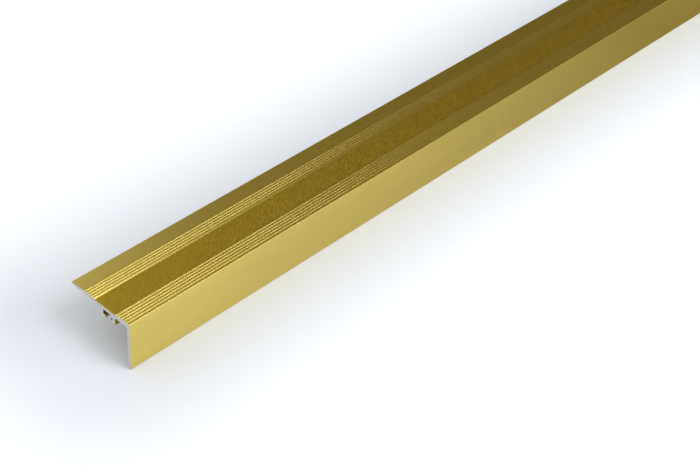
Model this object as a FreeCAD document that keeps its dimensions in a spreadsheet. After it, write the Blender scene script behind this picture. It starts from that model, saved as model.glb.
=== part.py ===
import FreeCAD, Part
import Sketcher
import os
import re

# Stair-edge threshold strip: an extruded aluminium angle that caps the edge of a floor covering.
# X runs along the strip, the riser face looks to -Y, the tread side lies to +Y, and Z is up.
# The origin is mid-length, on the inner face of the riser leg, at the height of the channel's feet.

DRIVING_SIZES = {
    # extruded angle; crown_centre, channel_front, recess_start and grooves count from the riser face
    "strip_length": 900.0,
    "flange_width": 38.0,
    "leg_thickness": 1.5,
    "leg_depth": 19.9,
    "leg_end_round": 0.25,
    "crest_height": 6.55,
    "crown_radius": 400.0,
    "crown_centre": 11.0,
    "nose_round": 0.45,
    "flange_underside": 4.1,
    "wing_underside": 4.45,
    "edge_taper": 3.0,
    "edge_rise": 0.7,
    "root_round": 0.8,
    # hidden fixing channel under the flange
    "channel_front": 9.3,
    "channel_wall": 1.6,
    "channel_gap": 6.0,
    "lip_thickness": 1.5,
    "slot_width": 3.4,
    # recess for the anti-slip insert
    "recess_start": 9.1,
    "recess_width": 13.25,
    "recess_floor": 5.55,
    "bevel_width": 0.8,
    "bevel_drop": 0.56,
    # ribbed bands
    "rib_pitch": 1.56,
    "groove_radius": 0.5,
    "groove_depth": 0.45,
    "front_groove": 1.5,
    "rear_groove": 24.0,
    "crest_round": 0.2,
    # anti-slip insert, bottom layer to top layer
    "insert_width": 12.6,
    "insert_gap": 0.2,
    "adhesive_thickness": 0.1,
    "film_thickness": 0.2,
    "grit_thickness": 0.5,
    # headed pins that run in the channel
    "pin_spacing": 200.0,
    "head_length": 8.0,
    "head_gap": 0.1,
    "head_round": 1.0,
    "pin_radius": 1.5,
    "pin_reach": 11.5,
    "tip_length": 1.5,
    "tip_radius": 0.6,
    "barb_start": 3.5,
    "barb_pitch": 1.3,
    "barb_length": 0.9,
    "barb_depth": 0.25,
    # wall plugs on the pins
    "plug_radius": 3.0,
    "plug_bore": 1.56,
    "plug_length": 12.0,
    "plug_gap": 0.2,
    "plug_neck": 4.0,
    "slit_width": 0.8,
    "tooth_start": 5.0,
    "tooth_pitch": 1.4,
    "tooth_length": 1.0,
    "tooth_depth": 0.35,
    "plug_chamfer": 0.6,
}
FRONT_GROOVES = 5
REAR_GROOVES = 4
PINS = 5
BARBS = 5
TEETH = 4

# Lines that several outlines share, as sheet arithmetic.
CHANNEL_Y = "channel_front + channel_wall + channel_gap / 2 - leg_thickness"
CHANNEL_REAR = f"{CHANNEL_Y} + channel_gap / 2 + channel_wall"
PLUG_TOP = "0 - plug_gap"
PLUG_FOOT = "0 - plug_gap - plug_length"
HEAD_FOOT = "lip_thickness + head_gap"

doc = FreeCAD.newDocument("threshold_strip")
sizes = doc.addObject("Spreadsheet::Sheet", "Sizes")
for row, (name, value) in enumerate(DRIVING_SIZES.items(), start=1):
    sizes.set(f"A{row}", name)
    sizes.set(f"B{row}", str(value))
    sizes.setAlias(f"B{row}", name)
doc.recompute()


def bound(expression):
    """Sheet arithmetic, with every alias written as a cell of the Sizes sheet."""
    pattern = r"\b(" + "|".join(DRIVING_SIZES) + r")\b"
    return re.sub(pattern, r"Sizes.\1", expression)


def value_of(expression):
    return float(sizes.evalExpression(bound(expression)))


def bind(item, **properties):
    for name, expression in properties.items():
        item.setExpression(name.replace("__", "."), bound(expression))


# ---- sketches ----


def new_body(label):
    body = doc.addObject("PartDesign::Body", label)
    body.Label = label
    return body


def origin_item(body, role):
    return next(item for item in body.Origin.OriginFeatures if item.Role == role)


def new_sketch(body, role, name):
    sketch = body.newObject("Sketcher::SketchObject", f"{body.Name}_{name}")
    sketch.AttachmentSupport = [(origin_item(body, role), "")]
    sketch.MapMode = "FlatFace"
    return sketch


def hold(sketch, kind, references, expression):
    """Add one dimension to a sketch and bind it to the sheet."""
    constraint = Sketcher.Constraint(kind, *references, value_of(expression))
    index = sketch.addConstraint(constraint)
    sketch.setExpression(f"Constraints[{index}]", bound(expression))


def hold_point(sketch, geometry, point, across, up):
    hold(sketch, "DistanceX", (-1, 1, geometry, point), across)
    hold(sketch, "DistanceY", (-1, 1, geometry, point), up)


def polygon(sketch, corners):
    """Closed outline through corners, each a pair of sheet expressions."""
    points = [FreeCAD.Vector(value_of(across), value_of(up), 0) for across, up in corners]
    first = sketch.GeometryCount
    for index, point in enumerate(points):
        sketch.addGeometry(Part.LineSegment(point, points[(index + 1) % len(points)]))
    for index, (across, up) in enumerate(corners):
        following = first + (index + 1) % len(corners)
        sketch.addConstraint(Sketcher.Constraint("Coincident", first + index, 2, following, 1))
        hold_point(sketch, first + index, 1, across, up)


def rectangle(sketch, low_across, low_up, high_across, high_up):
    polygon(
        sketch,
        [
            (low_across, low_up),
            (high_across, low_up),
            (high_across, high_up),
            (low_across, high_up),
        ],
    )


def circle(sketch, across, up, radius):
    centre = FreeCAD.Vector(value_of(across), value_of(up), 0)
    upright = FreeCAD.Vector(0, 0, 1)
    index = sketch.addGeometry(Part.Circle(centre, upright, value_of(radius)))
    hold_point(sketch, index, 3, across, up)
    hold(sketch, "Radius", (index,), radius)


# ---- features ----


def pad(sketch, length, symmetric=False):
    feature = sketch.getParentGeoFeatureGroup().newObject("PartDesign::Pad", f"{sketch.Name}_pad")
    feature.Profile = sketch
    feature.SideType = "Symmetric" if symmetric else "One side"
    bind(feature, Length=length)
    doc.recompute()
    return feature


def must_cut(body, feature):
    """A cut that points away from the solid removes nothing and shows no error."""
    before = feature.BaseFeature.Shape.Volume
    if not feature.Shape.Volume < before - 1e-6:
        raise RuntimeError(f"{feature.Name} cuts nothing from {body.Label}")


def pocket_through(sketch):
    body = sketch.getParentGeoFeatureGroup()
    feature = body.newObject("PartDesign::Pocket", f"{sketch.Name}_pocket")
    feature.Profile = sketch
    feature.Type = "ThroughAll"
    feature.SideType = "Symmetric"
    doc.recompute()
    must_cut(body, feature)
    return feature


def turned(sketch, kind="Revolution"):
    body = sketch.getParentGeoFeatureGroup()
    feature = body.newObject(f"PartDesign::{kind}", f"{sketch.Name}_turned")
    feature.Profile = sketch
    feature.ReferenceAxis = (origin_item(body, "Z_Axis"), [""])
    feature.Angle = 360
    doc.recompute()
    if kind == "Groove":
        must_cut(body, feature)
    return feature


def repeat_down(feature, pitch, count):
    body = feature.getParentGeoFeatureGroup()
    pattern = body.newObject("PartDesign::LinearPattern", f"{feature.Name}_row")
    pattern.Originals = [feature]
    pattern.Direction = (origin_item(body, "Z_Axis"), [""])
    pattern.Reversed = True
    bind(pattern, Length=f"{pitch} * {count - 1}")
    pattern.Occurrences = count
    body.Tip = pattern
    doc.recompute()
    must_cut(body, pattern)
    return pattern


def round_edges(feature, chosen, radius):
    """Fillet the edges of feature that chosen(edge) picks."""
    body = feature.getParentGeoFeatureGroup()
    names = [f"Edge{n}" for n, edge in enumerate(feature.Shape.Edges, start=1) if chosen(edge)]
    fillet = body.newObject("PartDesign::Fillet", f"{feature.Name}_round")
    fillet.Base = (feature, names)
    bind(fillet, Radius=radius)
    doc.recompute()
    return fillet


def runs_along(edge, direction, places):
    """Whether a straight edge along one axis passes through one of some places across it."""
    if len(edge.Vertexes) != 2:
        return False
    start, end = (vertex.Point for vertex in edge.Vertexes)
    across = [axis for axis in range(3) if axis != direction]
    if any(abs(start[axis] - end[axis]) > 1e-4 for axis in across):
        return False
    return any(
        all(abs(start[axis] - place) < 1e-3 for axis, place in zip(across, spot))
        for spot in places
    )


# ---- the extruded angle ----


def from_nose(distance):
    return f"{distance} - leg_thickness"


def crown_at(across):
    """Height of the crowned top face, at a distance from the inner face of the leg."""
    offset = f"{across} - crown_centre + leg_thickness"
    return f"crest_height - crown_radius + sqrt(crown_radius ^ 2 - ({offset}) ^ 2)"


def angle_outline(sketch):
    """Leg, crowned flange with a tapered rear edge, and the block that holds the channel."""
    nose = "0 - leg_thickness"
    edge = from_nose("flange_width")
    corners = [
        (edge, crown_at(edge)),
        (edge, "wing_underside + edge_rise"),
        (f"{edge} - edge_taper", "wing_underside"),
        (CHANNEL_REAR, "wing_underside"),
        (CHANNEL_REAR, "0"),
        (from_nose("channel_front"), "0"),
        (from_nose("channel_front"), "flange_underside"),
        ("0", "flange_underside"),
        ("0", "0 - leg_depth"),
        (nose, "0 - leg_depth"),
        (nose, crown_at(nose)),
    ]
    points = [FreeCAD.Vector(value_of(across), value_of(up), 0) for across, up in corners]
    for start, end in zip(points, points[1:]):
        sketch.addGeometry(Part.LineSegment(start, end))
    crest = FreeCAD.Vector(value_of(from_nose("crown_centre")), value_of("crest_height"), 0)
    crown = sketch.addGeometry(Part.Arc(points[-1], crest, points[0]))
    for index in range(crown - 1):
        sketch.addConstraint(Sketcher.Constraint("Coincident", index, 2, index + 1, 1))
    for index, (across, up) in enumerate(corners[:-1]):
        hold_point(sketch, index, 1, across, up)
    hold_point(sketch, crown - 1, 2, *corners[-1])
    sketch.addConstraint(Sketcher.Constraint("Coincident", crown - 1, 2, crown, 2))
    sketch.addConstraint(Sketcher.Constraint("Coincident", 0, 1, crown, 1))
    hold(sketch, "Radius", (crown,), "crown_radius")


def groove_places():
    front = [f"front_groove + rib_pitch * {n}" for n in range(FRONT_GROOVES)]
    rear = [f"rear_groove + rib_pitch * {n}" for n in range(REAR_GROOVES)]
    return [from_nose(place) for place in front + rear]


def make_profile():
    body = new_body("profile")
    outline = new_sketch(body, "YZ_Plane", "outline")
    angle_outline(outline)
    blank = pad(outline, "strip_length", symmetric=True)

    leg_foot = value_of("0 - leg_depth")
    nose = value_of("0 - leg_thickness")
    nose_top = value_of(crown_at("0 - leg_thickness"))
    feet = [(0, leg_foot), (nose, leg_foot)]
    roots = [
        (0, value_of("flange_underside")),
        (value_of(from_nose("channel_front")), value_of("flange_underside")),
        (value_of(CHANNEL_REAR), value_of("wing_underside")),
    ]
    blank = round_edges(blank, lambda edge: runs_along(edge, 0, [(nose, nose_top)]), "nose_round")
    blank = round_edges(blank, lambda edge: runs_along(edge, 0, roots), "root_round")
    blank = round_edges(blank, lambda edge: runs_along(edge, 0, feet), "leg_end_round")

    channel = new_sketch(body, "YZ_Plane", "channel")
    half_gap = "channel_gap / 2"
    half_slot = "slot_width / 2"
    polygon(
        channel,
        [
            (f"{CHANNEL_Y} - {half_gap}", "flange_underside"),
            (f"{CHANNEL_Y} - {half_gap}", "lip_thickness"),
            (f"{CHANNEL_Y} - {half_slot}", "lip_thickness"),
            (f"{CHANNEL_Y} - {half_slot}", "-1"),
            (f"{CHANNEL_Y} + {half_slot}", "-1"),
            (f"{CHANNEL_Y} + {half_slot}", "lip_thickness"),
            (f"{CHANNEL_Y} + {half_gap}", "lip_thickness"),
            (f"{CHANNEL_Y} + {half_gap}", "flange_underside"),
        ],
    )
    pocket_through(channel)

    recess = new_sketch(body, "YZ_Plane", "recess")
    recess_front = from_nose("recess_start")
    recess_rear = f"{recess_front} + recess_width"
    bevel_rear = f"{recess_rear} + bevel_width"
    polygon(
        recess,
        [
            (recess_front, "recess_floor"),
            (recess_rear, "recess_floor"),
            (recess_rear, f"{crown_at(recess_rear)} - bevel_drop"),
            (bevel_rear, crown_at(bevel_rear)),
            (bevel_rear, "crest_height + 1"),
            (recess_front, "crest_height + 1"),
        ],
    )
    pocket_through(recess)

    grooves = new_sketch(body, "YZ_Plane", "grooves")
    for place in groove_places():
        circle(grooves, place, f"{crown_at(place)} + groove_radius - groove_depth", "groove_radius")
    ribbed = pocket_through(grooves)
    round_edges(ribbed, crest_edge, "crest_round")
    return body


def crest_edge(edge):
    """Whether an edge runs along the strip at the top of a rib, or at the top of the recess."""
    if len(edge.Vertexes) != 2:
        return False
    start, end = (vertex.Point for vertex in edge.Vertexes)
    along = abs(start.y - end.y) < 1e-4 and abs(start.z - end.z) < 1e-4
    nose_end = value_of("0 - leg_thickness + nose_round") + 0.1
    last = value_of(groove_places()[-1]) + value_of("rib_pitch")
    on_crown = abs(start.z - value_of(crown_at(str(start.y)))) < 0.01
    return along and on_crown and nose_end < start.y < last


# ---- the anti-slip insert ----


def make_layer(label, layer_floor, thickness):
    layer = doc.addObject("Part::Box", label)
    layer.Label = label
    bind(
        layer,
        Length="strip_length",
        Width="insert_width",
        Height=thickness,
        Placement__Base__x="0 - strip_length / 2",
        Placement__Base__y=from_nose("recess_start + insert_gap"),
        Placement__Base__z=layer_floor,
    )
    return layer


# ---- hidden fixings ----


def place_in_row(body, number):
    """Stand a fixing on the channel's middle line, at its own place along the strip."""
    bind(
        body,
        Placement__Base__x=f"pin_spacing * {number - (PINS + 1) / 2}",
        Placement__Base__y=CHANNEL_Y,
    )


def make_pin(number):
    """Steel pin with a flat head that slides in the channel and a barbed shank."""
    body = new_body(f"fixing_pin_{number}")
    head = new_sketch(body, "XY_Plane", "head")
    bind(head, AttachmentOffset__Base__z=HEAD_FOOT)
    half_length = "head_length / 2"
    half_width = "(channel_gap / 2 - head_gap)"
    rectangle(head, f"0 - {half_length}", f"0 - {half_width}", half_length, half_width)
    plate = pad(head, "flange_underside - lip_thickness - 2 * head_gap")
    round_edges(plate, is_upright, "head_round")

    shank = new_sketch(body, "XZ_Plane", "shank")
    polygon(
        shank,
        [
            ("0", f"{HEAD_FOOT} + head_gap"),
            ("pin_radius", f"{HEAD_FOOT} + head_gap"),
            ("pin_radius", "tip_length - pin_reach"),
            ("tip_radius", "0 - pin_reach"),
            ("0", "0 - pin_reach"),
        ],
    )
    turned(shank)

    barb = new_sketch(body, "XZ_Plane", "barb")
    polygon(
        barb,
        [
            ("pin_radius + barb_depth", "0 - barb_start"),
            ("pin_radius - barb_depth", "0 - barb_start"),
            ("pin_radius", "0 - barb_start - barb_length"),
            ("pin_radius + barb_depth", "0 - barb_start - barb_length"),
        ],
    )
    repeat_down(turned(barb, "Groove"), "barb_pitch", BARBS)
    place_in_row(body, number)
    return body


def is_upright(edge):
    start, end = (vertex.Point for vertex in edge.Vertexes)
    return abs(start.x - end.x) < 1e-4 and abs(start.y - end.y) < 1e-4


def make_plug(number):
    """Nylon wall plug: a plain neck, then teeth and a split foot that spreads in the hole."""
    body = new_body(f"wall_plug_{number}")
    sleeve = new_sketch(body, "XZ_Plane", "sleeve")
    polygon(
        sleeve,
        [
            ("plug_bore", PLUG_TOP),
            ("plug_radius", PLUG_TOP),
            ("plug_radius", f"{PLUG_FOOT} + plug_chamfer"),
            ("plug_radius - plug_chamfer", PLUG_FOOT),
            ("plug_bore", PLUG_FOOT),
        ],
    )
    turned(sleeve)

    tooth = new_sketch(body, "XZ_Plane", "tooth")
    polygon(
        tooth,
        [
            ("plug_radius + tooth_depth", "0 - tooth_start"),
            ("plug_radius - tooth_depth", "0 - tooth_start"),
            ("plug_radius", "0 - tooth_start - tooth_length"),
            ("plug_radius + tooth_depth", "0 - tooth_start - tooth_length"),
        ],
    )
    repeat_down(turned(tooth, "Groove"), "tooth_pitch", TEETH)

    for role in ("XZ_Plane", "YZ_Plane"):
        slit = new_sketch(body, role, f"slit_{role[:2]}")
        half_slit = "slit_width / 2"
        neck_foot = f"{PLUG_TOP} - plug_neck"
        rectangle(slit, f"0 - {half_slit}", f"{PLUG_FOOT} - 1", half_slit, neck_foot)
        pocket_through(slit)
    place_in_row(body, number)
    return body


# ---- build, check and write ----

os.makedirs("parts", exist_ok=True)
sub_parts = [make_profile()]
film_floor = "recess_floor + adhesive_thickness"
sub_parts.append(make_layer("insert_adhesive", "recess_floor", "adhesive_thickness"))
sub_parts.append(make_layer("insert_film", film_floor, "film_thickness"))
sub_parts.append(make_layer("insert_grit", f"{film_floor} + film_thickness", "grit_thickness"))
for number in range(1, PINS + 1):
    sub_parts.append(make_pin(number))
    sub_parts.append(make_plug(number))
doc.recompute()

for item in doc.Objects:
    if "Invalid" in item.State or "Error" in item.State:
        raise RuntimeError(f"{item.Name} did not recompute")
for sub_part in sub_parts:
    shape = sub_part.Shape
    if shape.isNull() or not shape.isValid() or len(shape.Solids) != 1:
        raise RuntimeError(f"{sub_part.Label} is not one valid solid")
    shape.exportStep(f"parts/{sub_part.Label}.step")
    box = shape.optimalBoundingBox(True, False)
    size = f"{box.XLength:.2f} x {box.YLength:.2f} x {box.ZLength:.2f} mm"
    print(f"{sub_part.Label}: {size}, {shape.Volume:.1f} mm3")
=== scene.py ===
import math
import random

import bmesh
import bpy
from mathutils import Matrix, Vector


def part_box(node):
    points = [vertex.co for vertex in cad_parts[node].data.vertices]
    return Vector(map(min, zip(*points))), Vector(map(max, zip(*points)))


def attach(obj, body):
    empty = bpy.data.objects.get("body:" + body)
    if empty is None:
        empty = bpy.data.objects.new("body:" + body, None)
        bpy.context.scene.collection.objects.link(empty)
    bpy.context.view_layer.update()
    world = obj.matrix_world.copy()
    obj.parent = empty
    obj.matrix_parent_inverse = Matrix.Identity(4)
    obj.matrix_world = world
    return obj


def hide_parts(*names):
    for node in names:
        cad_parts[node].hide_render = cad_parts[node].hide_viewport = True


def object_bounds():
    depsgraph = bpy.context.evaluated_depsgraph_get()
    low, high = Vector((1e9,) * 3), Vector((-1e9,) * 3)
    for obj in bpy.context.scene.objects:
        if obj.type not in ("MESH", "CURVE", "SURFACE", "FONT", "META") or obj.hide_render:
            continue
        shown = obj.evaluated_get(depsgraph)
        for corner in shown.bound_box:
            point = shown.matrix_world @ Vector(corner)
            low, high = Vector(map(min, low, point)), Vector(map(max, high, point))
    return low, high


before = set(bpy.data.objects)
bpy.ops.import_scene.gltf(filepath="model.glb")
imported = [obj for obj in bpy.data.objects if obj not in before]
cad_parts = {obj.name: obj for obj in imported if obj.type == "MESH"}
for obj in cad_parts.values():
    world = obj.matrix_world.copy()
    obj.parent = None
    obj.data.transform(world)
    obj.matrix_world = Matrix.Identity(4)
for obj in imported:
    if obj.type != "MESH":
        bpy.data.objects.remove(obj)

# The looks of a gold anodised stair-edge strip. X runs along the strip, -Y is its riser face, Z is up.
# Section sizes are in millimetres, as they are on the extrusion's drawing; places come from the frame.

MM = 0.001

CAD_BOX = [list(corner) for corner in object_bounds()]
LOW, HIGH = Vector(CAD_BOX[0]), Vector(CAD_BOX[1])


# ---- extruded section ----
# Places across are from the leg's inner face. The drawing gives some from the riser face, so those lose
# the leg's thickness here.

LEG_THICKNESS = 1.5
LEG_DEPTH = 19.9
LEG_END_ROUND = 0.25
FLANGE_WIDTH = 38.0
CREST_HEIGHT = 6.55
CROWN_RADIUS = 400.0
CROWN_CENTRE = 11.0 - LEG_THICKNESS
NOSE_ROUND = 0.45
FLANGE_UNDERSIDE = 4.1
WING_UNDERSIDE = 4.45
EDGE_TAPER = 3.0
EDGE_RISE = 0.7
ROOT_ROUND = 0.8
CHANNEL_FRONT = 9.3 - LEG_THICKNESS
CHANNEL_WALL = 1.6
CHANNEL_GAP = 6.0
LIP_THICKNESS = 1.5
SLOT_WIDTH = 3.4
RECESS_START = 9.1 - LEG_THICKNESS
RECESS_WIDTH = 13.25
RECESS_FLOOR = 5.55
BEVEL_WIDTH = 0.8
BEVEL_DROP = 0.56
RIB_PITCH = 1.56
GROOVE_RADIUS = 0.5
GROOVE_DEPTH = 0.45
FIRST_FRONT_GROOVE = 1.5 - LEG_THICKNESS
FRONT_GROOVE_COUNT = 5
FRONT_GROOVES = [FIRST_FRONT_GROOVE + RIB_PITCH * n for n in range(FRONT_GROOVE_COUNT)]
FIRST_REAR_GROOVE = 24.0 - LEG_THICKNESS
REAR_GROOVE_COUNT = 4
REAR_GROOVES = [FIRST_REAR_GROOVE + RIB_PITCH * n for n in range(REAR_GROOVE_COUNT)]
CREST_ROUND = 0.2
ARC_STEPS = 6
BAR_SPANS = 60
SHARP_ANGLE = math.radians(35)


def arc(across, up, radius, start, end, steps=ARC_STEPS):
    """Points of an arc in the section's plane, with its angles in degrees."""
    angles = [math.radians(start + (end - start) * n / steps) for n in range(steps + 1)]
    return [(across + radius * math.cos(a), up + radius * math.sin(a)) for a in angles]


def crown(across):
    return CREST_HEIGHT - CROWN_RADIUS + math.sqrt(CROWN_RADIUS**2 - (across - CROWN_CENTRE) ** 2)


def groove(across):
    """One groove between ribs: a round floor that meets the crown over two rounded crests."""
    top = crown(across)
    above = GROOVE_RADIUS - GROOVE_DEPTH
    reach = math.sqrt((GROOVE_RADIUS + CREST_ROUND) ** 2 - (above + CREST_ROUND) ** 2)
    lean = math.degrees(math.atan2(above + CREST_ROUND, reach))
    return (
        arc(across - reach, top - CREST_ROUND, CREST_ROUND, 90, lean)
        + arc(across, top + above, GROOVE_RADIUS, 180 + lean, 360 - lean, 2 * ARC_STEPS)[1:-1]
        + arc(across + reach, top - CREST_ROUND, CREST_ROUND, 180 - lean, 90)
    )


def top_face():
    """From the nose to the rear edge: ribs, the insert's recess, ribs and the plain wing."""
    recess_end = RECESS_START + RECESS_WIDTH
    nose = NOSE_ROUND - LEG_THICKNESS
    points = arc(nose, crown(nose) - NOSE_ROUND, NOSE_ROUND, 180, 90)
    for across in FRONT_GROOVES:
        points += groove(across)
    corner = RECESS_START - CREST_ROUND
    points += arc(corner, crown(corner) - CREST_ROUND, CREST_ROUND, 90, 0)
    points += [(RECESS_START, RECESS_FLOOR), (recess_end, RECESS_FLOOR)]
    points += [(recess_end, crown(recess_end) - BEVEL_DROP)]
    bevel_end = recess_end + BEVEL_WIDTH
    slope = math.degrees(math.atan2(BEVEL_DROP, BEVEL_WIDTH))
    corner = bevel_end + CREST_ROUND * math.tan(math.radians(slope / 2))
    points += arc(corner, crown(corner) - CREST_ROUND, CREST_ROUND, 90 + slope, 90)
    for across in REAR_GROOVES:
        points += groove(across)
    edge = FLANGE_WIDTH - LEG_THICKNESS
    start = points[-1][0]
    plain = [start + (edge - start) * n / ARC_STEPS for n in range(1, ARC_STEPS + 1)]
    return points + [(across, crown(across)) for across in plain]


def underside():
    """From the rear edge back to the leg's inner foot, round the outside and inside of the channel."""
    edge = FLANGE_WIDTH - LEG_THICKNESS
    inner_front = CHANNEL_FRONT + CHANNEL_WALL
    inner_rear = inner_front + CHANNEL_GAP
    rear = inner_rear + CHANNEL_WALL
    middle = (inner_front + inner_rear) / 2
    slot_front = middle - SLOT_WIDTH / 2
    slot_rear = middle + SLOT_WIDTH / 2
    root = ROOT_ROUND
    return (
        [(edge, WING_UNDERSIDE + EDGE_RISE), (edge - EDGE_TAPER, WING_UNDERSIDE)]
        + arc(rear + root, WING_UNDERSIDE - root, root, 90, 180)
        + [(rear, 0), (slot_rear, 0), (slot_rear, LIP_THICKNESS), (inner_rear, LIP_THICKNESS)]
        + [(inner_rear, FLANGE_UNDERSIDE), (inner_front, FLANGE_UNDERSIDE)]
        + [(inner_front, LIP_THICKNESS), (slot_front, LIP_THICKNESS), (slot_front, 0)]
        + [(CHANNEL_FRONT, 0)]
        + arc(CHANNEL_FRONT - root, FLANGE_UNDERSIDE - root, root, 0, 90)
        + arc(root, FLANGE_UNDERSIDE - root, root, 90, 180)
    )


def leg_foot():
    low = LEG_END_ROUND - LEG_DEPTH
    inner = -LEG_END_ROUND
    outer = LEG_END_ROUND - LEG_THICKNESS
    return arc(inner, low, LEG_END_ROUND, 0, -90) + arc(outer, low, LEG_END_ROUND, 270, 180)


def section():
    return top_face() + underside() + leg_foot()


# ---- mesh helpers ----


def add_object(name, mesh, *materials):
    for material in materials:
        mesh.materials.append(material)
    thing = bpy.data.objects.new(name, mesh)
    bpy.context.scene.collection.objects.link(thing)
    return thing


def swept(name, outline, start, end, spans):
    """A closed bar of one section along X. Its sides take material 0 and its two ends material 1."""
    mesh = bpy.data.meshes.new(name)
    shape = bmesh.new()
    rings = []
    for span in range(spans + 1):
        along = start + (end - start) * span / spans
        rings.append([shape.verts.new((along, a * MM, u * MM)) for a, u in outline])
    count = len(outline)
    for ring, following in zip(rings, rings[1:]):
        for n in range(count):
            m = (n + 1) % count
            face = shape.faces.new((ring[n], ring[m], following[m], following[n]))
            face.smooth = True
    shape.faces.new(rings[0][::-1]).material_index = 1
    shape.faces.new(rings[-1]).material_index = 1
    bmesh.ops.recalc_face_normals(shape, faces=shape.faces[:])
    shape.to_mesh(mesh)
    shape.free()
    mesh.set_sharp_from_angle(angle=SHARP_ANGLE)
    return mesh


# ---- materials ----


class Nodes:
    """Short calls for building one node material."""

    def __init__(self, name):
        self.material = bpy.data.materials.new(name)
        self.material.use_nodes = True
        self.tree = self.material.node_tree
        self.shader = self.tree.nodes["Principled BSDF"]

    def add(self, kind, **inputs):
        node = self.tree.nodes.new(kind)
        for name, value in inputs.items():
            self.plug(node, name.replace("_", " "), value)
        return node

    def plug(self, node, name, value):
        if isinstance(value, bpy.types.NodeSocket):
            self.tree.links.new(value, node.inputs[name])
        else:
            node.inputs[name].default_value = value

    def vector(self, operation, first, second=(0, 0, 0)):
        node = self.tree.nodes.new("ShaderNodeVectorMath")
        node.operation = operation
        self.plug(node, 0, first)
        self.plug(node, 1, second)
        return node.outputs["Vector"]

    def math(self, operation, first, second=0.0):
        node = self.tree.nodes.new("ShaderNodeMath")
        node.operation = operation
        self.plug(node, 0, first)
        self.plug(node, 1, second)
        return node.outputs["Value"]

    def place(self):
        """The shaded point's place in the frame, in metres."""
        return self.tree.nodes.new("ShaderNodeNewGeometry").outputs["Position"]

    def along(self):
        """The shaded point's place along the strip, from its middle."""
        return self.add("ShaderNodeSeparateXYZ", Vector=self.place()).outputs["X"]

    def surface(self, **inputs):
        for name, value in inputs.items():
            self.plug(self.shader, name.replace("_", " "), value)


GOLD = (0.74, 0.60, 0.16)
RAW = (0.57, 0.57, 0.575)
GRIT = (0.47, 0.335, 0.032)
FILM = (0.34, 0.26, 0.06)
ADHESIVE = (0.62, 0.60, 0.52)
ZINC_BLUE = (0.62, 0.66, 0.70, 1)
ZINC_GREY = (0.70, 0.69, 0.64, 1)
NYLON = (0.40, 0.41, 0.42)
EDGE_WEAR = 0.00025
TONE_PATCH = 0.0004
GLOSS_PATCH = 0.00055
BUBBLE = 0.0006
NOISE_LOW = 0.3
NOISE_HIGH = 0.7


def scaled(nodes, scale):
    """The shaded point's place times a scale for each axis."""
    return nodes.vector("MULTIPLY", nodes.place(), scale)


def noise(nodes, scale, detail=2.0):
    """Noise with about this many blotches to the metre along each axis."""
    node = nodes.add("ShaderNodeTexNoise", Vector=scaled(nodes, scale), Scale=1.0, Detail=detail)
    return node.outputs["Fac"]


def remapped(nodes, value, from_low, from_high, low=0.0, high=1.0, curve="LINEAR"):
    """A value between from_low and from_high, as one between low and high."""
    node = nodes.add("ShaderNodeMapRange", Value=value)
    node.interpolation_type = curve
    node.inputs["From Min"].default_value = from_low
    node.inputs["From Max"].default_value = from_high
    node.inputs["To Min"].default_value = low
    node.inputs["To Max"].default_value = high
    return node.outputs["Result"]


def spread(nodes, value, low, high):
    """Noise stays near 0.5, so its middle is what is stretched between low and high."""
    return remapped(nodes, value, NOISE_LOW, NOISE_HIGH, low, high)


def tinted(nodes, colour, strength):
    """One colour made lighter or darker by a value near 1."""
    node = nodes.add("ShaderNodeVectorMath")
    node.operation = "SCALE"
    node.inputs[0].default_value = colour
    nodes.plug(node, "Scale", strength)
    return node.outputs["Vector"]


def blended(nodes, share, first, second):
    node = nodes.add("ShaderNodeMix")
    node.data_type = "RGBA"
    nodes.plug(node, 0, share)
    nodes.plug(node, 6, first)
    nodes.plug(node, 7, second)
    return node.outputs[2]


def relief(nodes, height, depth):
    """Bump of a real depth in metres, given by each material for its own texture."""
    bump = nodes.add("ShaderNodeBump", Height=height)
    bump.inputs["Distance"].default_value = depth
    nodes.plug(nodes.shader, "Normal", bump.outputs["Normal"])


def near_ends(nodes, depth):
    """1 on the last sliver of the strip at each cut end, with a ragged limit, and 0 elsewhere."""
    inward = nodes.math("SUBTRACT", HIGH.x, nodes.math("ABSOLUTE", nodes.along()))
    limit = spread(nodes, noise(nodes, (600, 2500, 2500)), 0.4 * depth, 1.6 * depth)
    return nodes.math("LESS_THAN", inward, limit)


def gold_anodised():
    """Satin gold: die lines run along it, the dye varies a little, and the cut edges are rubbed bare."""
    nodes = Nodes("gold_anodised")
    die_lines = noise(nodes, (2.5, 5200, 5200), 3)
    matt = noise(nodes, (1500, 2600, 2600), 4)
    dye = nodes.math("ADD", spread(nodes, noise(nodes, (9, 60, 60)), -0.035, 0.035), 1.0)
    streaked = nodes.math("ADD", dye, spread(nodes, die_lines, -0.02, 0.02))
    bare = near_ends(nodes, EDGE_WEAR)
    satin = nodes.math("ADD", spread(nodes, matt, -0.012, 0.012), spread(nodes, die_lines, 0.24, 0.27))
    nodes.surface(
        Base_Color=blended(nodes, bare, tinted(nodes, GOLD, streaked), (*RAW, 1)),
        Metallic=1.0,
        Roughness=nodes.math("ADD", satin, nodes.math("MULTIPLY", bare, 0.15)),
    )
    relief(nodes, nodes.math("ADD", die_lines, nodes.math("MULTIPLY", matt, 0.5)), 5e-7)
    return nodes.material


def raw_aluminium():
    """A sawn end: fine curved tooth marks, and a dull oxide bloom between them."""
    nodes = Nodes("raw_aluminium")
    marks = nodes.add(
        "ShaderNodeTexWave", Vector=scaled(nodes, (0, 300, 1100)), Scale=1.0, Distortion=3.0, Detail=3.0
    ).outputs["Fac"]
    bloom = spread(nodes, noise(nodes, (900, 900, 900), 4), 0.90, 1.08)
    shade = nodes.math("ADD", bloom, nodes.math("MULTIPLY", marks, 0.10))
    nodes.surface(
        Base_Color=tinted(nodes, RAW, shade),
        Metallic=0.6,
        Roughness=nodes.math("ADD", nodes.math("MULTIPLY", marks, 0.12), 0.42),
    )
    relief(nodes, marks, 1e-5)
    return nodes.material


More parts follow.
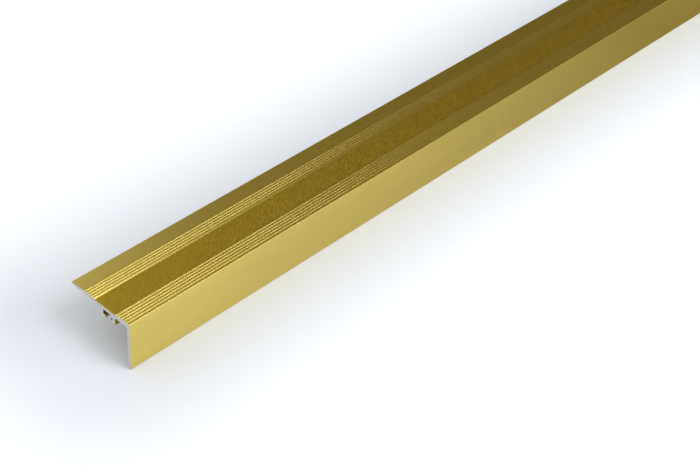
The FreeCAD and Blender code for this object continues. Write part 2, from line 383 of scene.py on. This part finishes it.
def grain_shade(nodes, size, low, high):
    """A random value for each grain or bubble of this size in metres, from low to high."""
    cells = nodes.add("ShaderNodeTexVoronoi", Vector=scaled(nodes, (1 / size,) * 3), Scale=1.0)
    tone = nodes.add("ShaderNodeSeparateColor", Color=cells.outputs["Color"])
    return remapped(nodes, tone.outputs["Red"], 0.0, 1.0, low, high)


def grit():
    """Gold coated mineral grains in resin, each with its own tone and gloss."""
    nodes = Nodes("grit")
    clumps = spread(nodes, noise(nodes, (260, 330, 330), 3), -0.04, 0.04)
    tone = nodes.math("ADD", grain_shade(nodes, TONE_PATCH, 0.92, 1.08), clumps)
    nodes.surface(
        Base_Color=tinted(nodes, GRIT, tone),
        Metallic=1.0,
        Roughness=grain_shade(nodes, GLOSS_PATCH, 0.30, 0.52),
    )
    relief(nodes, noise(nodes, (4200, 4200, 4200), 3), 2e-5)
    return nodes.material


def film():
    """Gold-tinted polyester film, seen at the insert's sides and ends."""
    nodes = Nodes("film")
    haze = spread(nodes, noise(nodes, (400, 2000, 2000), 3), 0.92, 1.08)
    nodes.surface(Base_Color=tinted(nodes, FILM, haze), Metallic=0.4)
    nodes.surface(Roughness=spread(nodes, noise(nodes, (900, 900, 900)), 0.30, 0.42))
    relief(nodes, noise(nodes, (700, 3000, 3000)), 4e-6)
    return nodes.material


def adhesive():
    """Milky pressure-sensitive adhesive with small trapped bubbles."""
    nodes = Nodes("adhesive")
    bubbles = grain_shade(nodes, BUBBLE, 0.88, 1.08)
    nodes.surface(Base_Color=tinted(nodes, ADHESIVE, bubbles))
    nodes.surface(Roughness=spread(nodes, noise(nodes, (800, 800, 800)), 0.25, 0.45))
    relief(nodes, bubbles, 1e-5)
    return nodes.material


def zinc_steel():
    """Bright zinc plate: faint blue passivation, dull patches and fine drawing marks."""
    nodes = Nodes("zinc_steel")
    patches = spread(nodes, noise(nodes, (320, 320, 320), 4), 0.0, 1.0)
    drawn = noise(nodes, (3500, 3500, 90), 2)
    nodes.surface(
        Base_Color=blended(nodes, patches, ZINC_BLUE, ZINC_GREY),
        Metallic=1.0,
        Roughness=nodes.math("ADD", spread(nodes, drawn, -0.05, 0.05), spread(nodes, patches, 0.24, 0.36)),
    )
    relief(nodes, drawn, 8e-6)
    return nodes.material


def nylon():
    """Grey moulded nylon with a spark-eroded grain and a slight bloom."""
    nodes = Nodes("nylon")
    bloom = spread(nodes, noise(nodes, (180, 180, 180), 3), 0.93, 1.07)
    grain = noise(nodes, (3800, 3800, 3800), 3)
    nodes.surface(
        Base_Color=tinted(nodes, NYLON, bloom),
        Roughness=spread(nodes, grain, 0.42, 0.56),
    )
    relief(nodes, grain, 1.5e-5)
    return nodes.material


# ---- pieces ----


def make_profile():
    start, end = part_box("profile")[0][0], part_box("profile")[1][0]
    mesh = swept("profile_extrusion", section(), start, end, BAR_SPANS)
    bar = add_object("profile_extrusion", mesh, gold_anodised(), raw_aluminium())
    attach(bar, "strip")
    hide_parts("profile")


GRAINS_ALONG = 2200
GRAINS_ACROSS = 38
GRAIN_JITTER = 0.3
GRAIN_DEPTH = 0.000042
PIT_DEPTH = 0.00010
PIT_SHARE = 0.04
GRAIN_SEED = 7


def grain_drop(draw):
    """How far a grain's top lies under the highest grains."""
    drop = GRAIN_DEPTH * draw.random()
    if draw.random() < PIT_SHARE:
        drop += PIT_DEPTH * draw.random()
    return drop


def grain_tops(low, high):
    """The coat's rough top, row by row along the strip. Grains on its outline stay in line."""
    draw = random.Random(GRAIN_SEED)
    step = Vector(((high.x - low.x) / GRAINS_ALONG, (high.y - low.y) / GRAINS_ACROSS))
    points = []
    for row in range(GRAINS_ALONG + 1):
        for column in range(GRAINS_ACROSS + 1):
            inside_x = 0 < row < GRAINS_ALONG
            inside_y = 0 < column < GRAINS_ACROSS
            jitter_x = draw.uniform(-GRAIN_JITTER, GRAIN_JITTER)
            jitter_y = draw.uniform(-GRAIN_JITTER, GRAIN_JITTER)
            along = low.x + step.x * (row + inside_x * jitter_x)
            across = low.y + step.y * (column + inside_y * jitter_y)
            points.append((along, across, high.z - grain_drop(draw)))
    return points


def top_faces():
    ring = GRAINS_ACROSS + 1
    faces = []
    for row in range(GRAINS_ALONG):
        for column in range(GRAINS_ACROSS):
            corner = row * ring + column
            faces.append((corner, corner + ring, corner + ring + 1, corner + 1))
    return faces


def top_outline():
    """The grains round the edge of the top: front, right end, rear and left end."""
    ring = GRAINS_ACROSS + 1
    front = [row * ring for row in range(GRAINS_ALONG + 1)]
    rear = [corner + GRAINS_ACROSS for corner in front]
    left = list(range(ring))
    right = [front[-1] + column for column in left]
    return front + right[1:] + rear[::-1][1:] + left[::-1][1:-1]


def make_grit():
    """The insert's grit coat: a rough top of jittered grains, on straight-cut sides."""
    low, high = Vector(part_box("insert_grit")[0]), Vector(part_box("insert_grit")[1])
    points = grain_tops(low, high)
    faces = top_faces()
    outline = top_outline()
    foot = len(points)
    points += [(points[n][0], points[n][1], low.z) for n in outline]
    for n, corner in enumerate(outline):
        m = (n + 1) % len(outline)
        faces.append((outline[m], corner, foot + n, foot + m))
    faces.append(tuple(range(foot + len(outline) - 1, foot - 1, -1)))
    mesh = bpy.data.meshes.new("grit_coat")
    mesh.from_pydata(points, [], faces)
    coat = add_object("grit_coat", mesh, grit())
    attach(coat, "strip")
    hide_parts("insert_grit")


def finish_cad_nodes():
    """Better materials for the nodes that keep their own shape."""
    finishes = {
        "insert_film": film(),
        "insert_adhesive": adhesive(),
        "fixing_pin": zinc_steel(),
        "wall_plug": nylon(),
    }
    for name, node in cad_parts.items():
        for start, material in finishes.items():
            if name.startswith(start):
                node.data.materials[0] = material


# ---- stage ----


FLOOR_REACH = 15.0
FLOOR_COLOUR = (0.79, 0.81, 0.85, 1)
FLOOR_ROUGHNESS = 0.6
# The floor's glow is painted light: beside the strip it drops to a faint blue as a painted shadow, it
# fades up to full glow further away, and it sits a little behind the strip.
PAINTED_SHADOW_GLOW = (0.012, 0.030, 0.070, 1)
GLOW_AWAY = (0.264, 0.279, 0.300, 1)
PAINTED_SHADOW_START = 0.010
PAINTED_SHADOW_END = 0.092
PAINTED_SHADOW_SHIFT = Vector((0, 0.007, 0))


def sheet(name, low_x, low_y, high_x, high_y, level, material):
    """A flat rectangle that belongs to the stage."""
    mesh = bpy.data.meshes.new(name)
    corners = [
        (low_x, low_y, level),
        (high_x, low_y, level),
        (high_x, high_y, level),
        (low_x, high_y, level),
    ]
    mesh.from_pydata(corners, [], [(0, 1, 2, 3)])
    thing = add_object(name, mesh, material)
    return thing


def distance_from_strip(nodes):
    """How far a place on the floor is from the strip's outline, moved back by the painted shadow's shift.
    """
    middle = (LOW + HIGH) / 2 + PAINTED_SHADOW_SHIFT
    half = (HIGH - LOW) / 2
    offset = nodes.vector("SUBTRACT", nodes.place(), middle)
    beyond = nodes.vector("SUBTRACT", nodes.vector("ABSOLUTE", offset), half)
    outside = nodes.vector("MAXIMUM", beyond, (0, 0, 0))
    length = nodes.tree.nodes.new("ShaderNodeVectorMath")
    length.operation = "LENGTH"
    nodes.plug(length, 0, nodes.vector("MULTIPLY", outside, (1, 1, 0)))
    return length.outputs["Value"]


def make_floor_with_painted_shadow():
    """A white floor that glows softly all round the strip and only a faint blue close to it: a painted
    shadow round the strip, tinted blue against the gold's warm bounce light.
    """
    nodes = Nodes("floor")
    share = remapped(nodes, distance_from_strip(nodes), PAINTED_SHADOW_START, PAINTED_SHADOW_END, curve="SMOOTHSTEP")
    glow = blended(nodes, share, PAINTED_SHADOW_GLOW, GLOW_AWAY)
    nodes.surface(Base_Color=FLOOR_COLOUR, Roughness=FLOOR_ROUGHNESS)
    nodes.surface(Emission_Color=glow, Emission_Strength=1.0)
    sheet("floor", -FLOOR_REACH, -FLOOR_REACH, FLOOR_REACH, FLOOR_REACH, LOW.z, nodes.material)


# A sheet that is seen only in reflections paints shade into the metal: the riser face reflects it darker
# and darker towards the far end.
REFLECTION_SHADE_REACH = 0.25
REFLECTION_SHADE_GAP = 0.0001
REFLECTION_SHADE_LIFT = 0.0003
REFLECTION_SHADE_START = LOW.x
REFLECTION_SHADE_FULL = LOW.x + 0.40
CLEAR = (1, 1, 1, 1)
REFLECTION_SHADE_TINT = (0.43, 0.39, 0.25, 1)


def make_reflection_shade():
    """A painted reflection shade: a graded amber sheet low in front of the strip, deeper to the right,
    seen only in the metal, where it darkens the riser face's reflection towards the far end.
    """
    nodes = Nodes("reflection_shade")
    depth = remapped(nodes, nodes.along(), REFLECTION_SHADE_START, REFLECTION_SHADE_FULL)
    clear = nodes.add("ShaderNodeBsdfTransparent", Color=blended(nodes, depth, CLEAR, REFLECTION_SHADE_TINT))
    output = nodes.tree.nodes["Material Output"]
    nodes.plug(output, "Surface", clear.outputs["BSDF"])
    front, back = LOW.y - REFLECTION_SHADE_REACH, LOW.y - REFLECTION_SHADE_GAP
    reflection_shade = sheet("reflection_shade", LOW.x, front, HIGH.x, back, LOW.z + REFLECTION_SHADE_LIFT, nodes.material)
    reflection_shade.visible_camera = False
    reflection_shade.visible_diffuse = False
    reflection_shade.visible_shadow = False
    reflection_shade.visible_transmission = False


# ---- light ----


# Each softbox: its place, what it points at, its width and height, and its power in watts.
SOFTBOXES = {
    "front_softbox": ((-0.04, -0.51, 0.40), (-0.42, 0, 0), (0.30, 0.22), 0.57),
    "high_softbox": ((-0.20, -0.60, 0.90), (0, -0.10, 0), (0.50, 0.50), 3.5),
}


def area_light(name, place, aim, size, power):
    data = bpy.data.lights.new(name, "AREA")
    data.shape = "RECTANGLE"
    data.size, data.size_y = size
    data.energy = power
    light = bpy.data.objects.new(name, data)
    light.location = place
    light.rotation_euler = (Vector(aim) - Vector(place)).to_track_quat("-Z", "Y").to_euler()
    bpy.context.scene.collection.objects.link(light)


# The room fades from pale at the left and front to dim and warm at the right. Each stop is how far a
# direction points to the dim side, and the colour of the light that comes from there.
DIM_SIDE = Vector((0.95, -0.05, 0.20))
SIDE_STOPS = [
    (-1.00, (0.60, 0.61, 0.63)),
    (-0.30, (0.80, 0.81, 0.82)),
    (0.25, (1.00, 1.00, 1.00)),
    (0.45, (0.80, 0.79, 0.75)),
    (0.58, (0.20, 0.17, 0.07)),
    (0.68, (0.17, 0.14, 0.05)),
    (0.95, (0.14, 0.115, 0.04)),
]
# Overhead light is strongest. Each stop is how far a direction points up, and how strong its light is.
HEIGHT_STOPS = [
    (-0.10, 0.90),
    (0.05, 0.90),
    (0.30, 0.46),
    (0.52, 0.84),
    (0.64, 0.72),
    (0.86, 1.00),
    (1.00, 1.00),
]
# The horizon stays pale all the way round. Each stop is how far a direction points up, and its share.
HORIZON_STOPS = [(-1.00, (1, 1, 1)), (0.06, (1, 1, 1)), (0.20, (0, 0, 0)), (1.00, (0, 0, 0))]
PALE = (0.80, 0.81, 0.82)
ROOM_STRENGTH = 1.38


def ramp(tree, value, stops):
    """A colour ramp over -1 to 1."""
    share = tree.nodes.new("ShaderNodeMapRange")
    share.inputs["From Min"].default_value = -1.0
    tree.links.new(value, share.inputs["Value"])
    node = tree.nodes.new("ShaderNodeValToRGB")
    tree.links.new(share.outputs["Result"], node.inputs["Fac"])
    elements = node.color_ramp.elements
    while len(elements) < len(stops):
        elements.new(0.5)
    for element, (place, colour) in zip(elements, stops):
        element.position = (place + 1) / 2
        element.color = (*colour, 1)
    return node.outputs["Color"]


def light_studio():
    """A room that is palest overhead and along the horizon and dims to one side, and two softboxes."""
    world = bpy.data.worlds.new("studio")
    world.use_nodes = True
    tree = world.node_tree
    direction = tree.nodes.new("ShaderNodeTexCoord").outputs["Generated"]
    toward = tree.nodes.new("ShaderNodeVectorMath")
    toward.operation = "DOT_PRODUCT"
    toward.inputs[1].default_value = DIM_SIDE.normalized()
    tree.links.new(direction, toward.inputs[0])
    split = tree.nodes.new("ShaderNodeSeparateXYZ")
    tree.links.new(direction, split.inputs[0])
    side = ramp(tree, toward.outputs["Value"], SIDE_STOPS)
    height = ramp(tree, split.outputs["Z"], [(place, (s, s, s)) for place, s in HEIGHT_STOPS])
    horizon = ramp(tree, split.outputs["Z"], HORIZON_STOPS)
    ring = tree.nodes.new("ShaderNodeMix")
    ring.data_type = "RGBA"
    tree.links.new(horizon, ring.inputs[0])
    tree.links.new(side, ring.inputs[6])
    ring.inputs[7].default_value = (*PALE, 1)
    both = tree.nodes.new("ShaderNodeVectorMath")
    both.operation = "MULTIPLY"
    tree.links.new(ring.outputs[2], both.inputs[0])
    tree.links.new(height, both.inputs[1])
    background = tree.nodes["Background"]
    tree.links.new(both.outputs["Vector"], background.inputs["Color"])
    background.inputs["Strength"].default_value = ROOM_STRENGTH
    bpy.context.scene.world = world
    for name, (place, aim, size, power) in SOFTBOXES.items():
        area_light(name, place, aim, size, power)


# ---- camera ----


LENS = 79.36
SENSOR_WIDTH = 36.0
CLIP_START = 0.01
# Measured in metres from the near end of the riser face, level with the tread.
CAMERA_OFFSET = Vector((-0.2955, -0.3697, 0.4521))
CAMERA_RIGHT = Vector((0.6877, -0.7233, 0.0624))
CAMERA_UP = Vector((0.4310, 0.4759, 0.7667))


def place_camera():
    """The near end of the strip fills the lower left, and the strip runs off to the upper right."""
    corner = Vector((LOW.x, LOW.y, 0))
    data = bpy.data.cameras.new("camera")
    data.lens = LENS
    data.sensor_width = SENSOR_WIDTH
    data.clip_start = CLIP_START
    camera = bpy.data.objects.new("camera", data)
    camera.location = corner + CAMERA_OFFSET
    back = CAMERA_RIGHT.cross(CAMERA_UP)
    camera.rotation_euler = Matrix((CAMERA_RIGHT, CAMERA_UP, back)).transposed().to_euler()
    bpy.context.scene.collection.objects.link(camera)
    bpy.context.scene.camera = camera


place_camera()
make_floor_with_painted_shadow()
make_reflection_shade()
light_studio()
make_profile()
make_grit()
finish_cad_nodes()
bpy.context.scene.view_settings.view_transform = "Standard"
